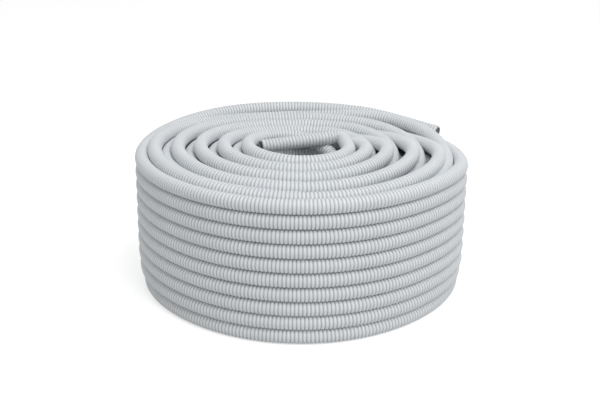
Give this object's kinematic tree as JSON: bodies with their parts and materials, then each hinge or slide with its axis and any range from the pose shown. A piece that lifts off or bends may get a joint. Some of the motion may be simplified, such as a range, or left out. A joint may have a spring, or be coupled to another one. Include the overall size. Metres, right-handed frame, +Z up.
{
  "type": "coil of corrugated conduit",
  "caption": "Coil of round corrugated plastic conduit lying flat, turns wound in nested layers round an open eye, both ends free.",
  "frame": {"origin": "on the floor under the middle of the coil, on the axis of its eye", "axes": "+Z up along the coil's axis, +X to the right of the picture, +Y away from its camera"},
  "size_m": [0.4649, 0.4649, 0.2059],
  "materials": {
    "conduit_plastic": "satin"
  },
  "bodies": {
    "root": {"conduit": "conduit_plastic"}
  },
  "joints": []
}
